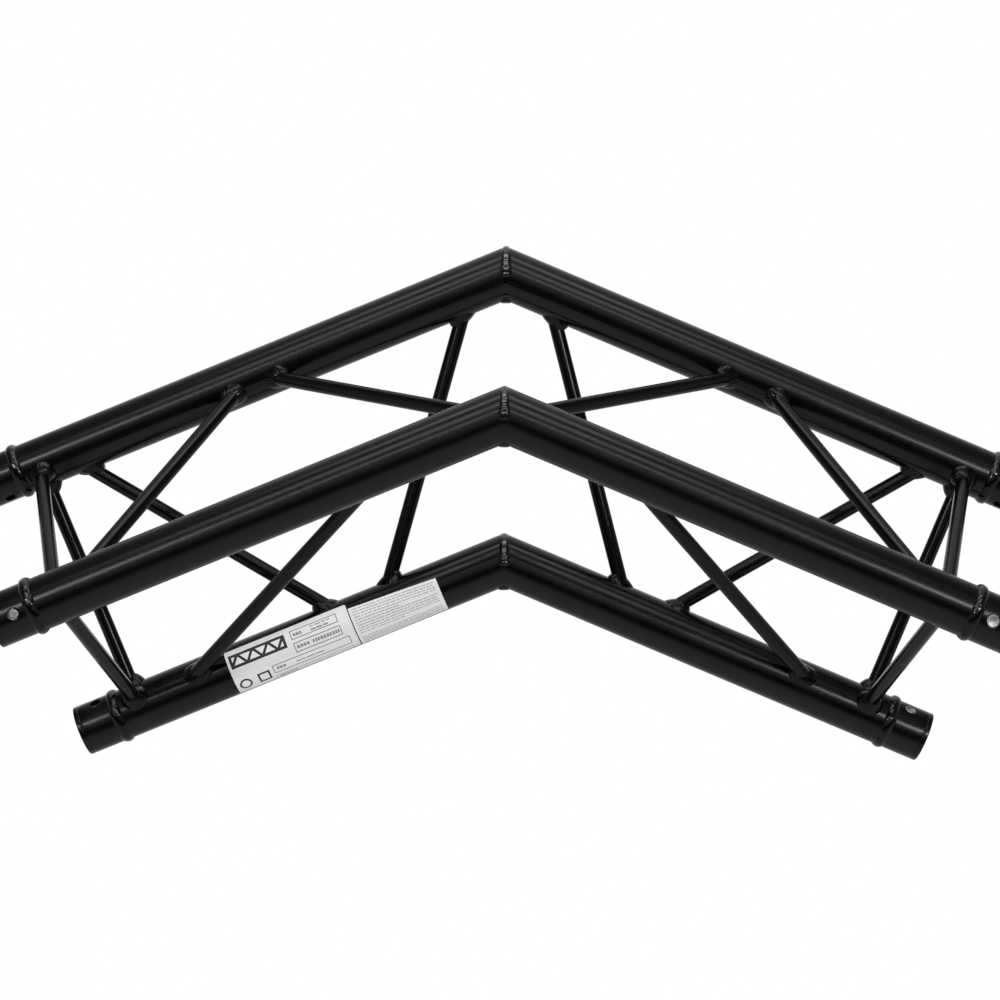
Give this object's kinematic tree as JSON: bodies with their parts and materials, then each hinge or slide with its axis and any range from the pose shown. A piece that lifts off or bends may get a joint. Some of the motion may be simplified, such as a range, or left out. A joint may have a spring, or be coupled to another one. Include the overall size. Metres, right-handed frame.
{
  "type": "triangular truss corner",
  "caption": "Two-way 135 degree corner of a triangular lighting truss: mitred tube chords, welded round bracing, conical-coupler sockets and tapered cross pins.",
  "frame": {"origin": "under the apex: the middle of the bounding box in X and Y, at the lowest point in Z", "axes": "the bend plane is X-Z with the apex up; the left leg falls towards -X and the right leg towards +X at 22.5 degrees; -Y is the side of the single front chord, +Y the side of the two rear chords"},
  "size_m": [0.7434, 0.1996, 0.3589],
  "materials": {
    "black_powder_coat": "satin",
    "pin_steel": "satin",
    "label_film": "satin"
  },
  "bodies": {
    "truss_frame": {"outer_chord_left": "black_powder_coat", "socket_outer_left": "black_powder_coat", "socket_weld_outer_left": "black_powder_coat", "front_chord_left": "black_powder_coat", "socket_front_left": "black_powder_coat", "socket_weld_front_left": "black_powder_coat", "inner_chord_left": "black_powder_coat", "socket_inner_left": "black_powder_coat", "socket_weld_inner_left": "black_powder_coat", "end_strut_outer_front_left": "black_powder_coat", "end_strut_outer_inner_left": "black_powder_coat", "end_strut_front_inner_left": "black_powder_coat", "diagonal_outer_front_low_left": "black_powder_coat", "diagonal_outer_front_high_left": "black_powder_coat", "diagonal_outer_inner_low_left": "black_powder_coat", "diagonal_outer_inner_high_left": "black_powder_coat", "diagonal_front_inner_left": "black_powder_coat", "outer_chord_right": "black_powder_coat", "socket_outer_right": "black_powder_coat", "socket_weld_outer_right": "black_powder_coat", "front_chord_right": "black_powder_coat", "socket_front_right": "black_powder_coat", "socket_weld_front_right": "black_powder_coat", "inner_chord_right": "black_powder_coat", "socket_inner_right": "black_powder_coat", "socket_weld_inner_right": "black_powder_coat", "end_strut_outer_front_right": "black_powder_coat", "end_strut_outer_inner_right": "black_powder_coat", "end_strut_front_inner_right": "black_powder_coat", "diagonal_outer_front_low_right": "black_powder_coat", "diagonal_outer_front_high_right": "black_powder_coat", "diagonal_outer_inner_low_right": "black_powder_coat", "diagonal_outer_inner_high_right": "black_powder_coat", "diagonal_front_inner_right": "black_powder_coat", "corner_weld_outer": "black_powder_coat", "corner_weld_front": "black_powder_coat", "corner_weld_inner": "black_powder_coat", "data_label": "label_film", "notes_label": "label_film"},
    "pin_outer_left": {"pin_outer_left": "pin_steel"},
    "pin_front_left": {"pin_front_left": "pin_steel"},
    "pin_inner_left": {"pin_inner_left": "pin_steel"},
    "pin_outer_right": {"pin_outer_right": "pin_steel"},
    "pin_front_right": {"pin_front_right": "pin_steel"},
    "pin_inner_right": {"pin_inner_right": "pin_steel"}
  },
  "joints": [
    {"name": "pin_outer_left_slide", "type": "slide", "parent": "truss_frame", "child": "pin_outer_left", "axis": [-0.3314, 0.5, 0.8001], "range_m": [0, 0.045]},
    {"name": "pin_front_left_slide", "type": "slide", "parent": "truss_frame", "child": "pin_front_left", "axis": [0, 1, 0], "range_m": [0, 0.045]},
    {"name": "pin_inner_left_slide", "type": "slide", "parent": "truss_frame", "child": "pin_inner_left", "axis": [0.3314, 0.5, -0.8001], "range_m": [0, 0.045]},
    {"name": "pin_outer_right_slide", "type": "slide", "parent": "truss_frame", "child": "pin_outer_right", "axis": [0.3314, 0.5, 0.8001], "range_m": [0, 0.045]},
    {"name": "pin_front_right_slide", "type": "slide", "parent": "truss_frame", "child": "pin_front_right", "axis": [0, -1, 0], "range_m": [0, 0.045]},
    {"name": "pin_inner_right_slide", "type": "slide", "parent": "truss_frame", "child": "pin_inner_right", "axis": [0.3314, -0.5, 0.8001], "range_m": [0, 0.045]}
  ]
}
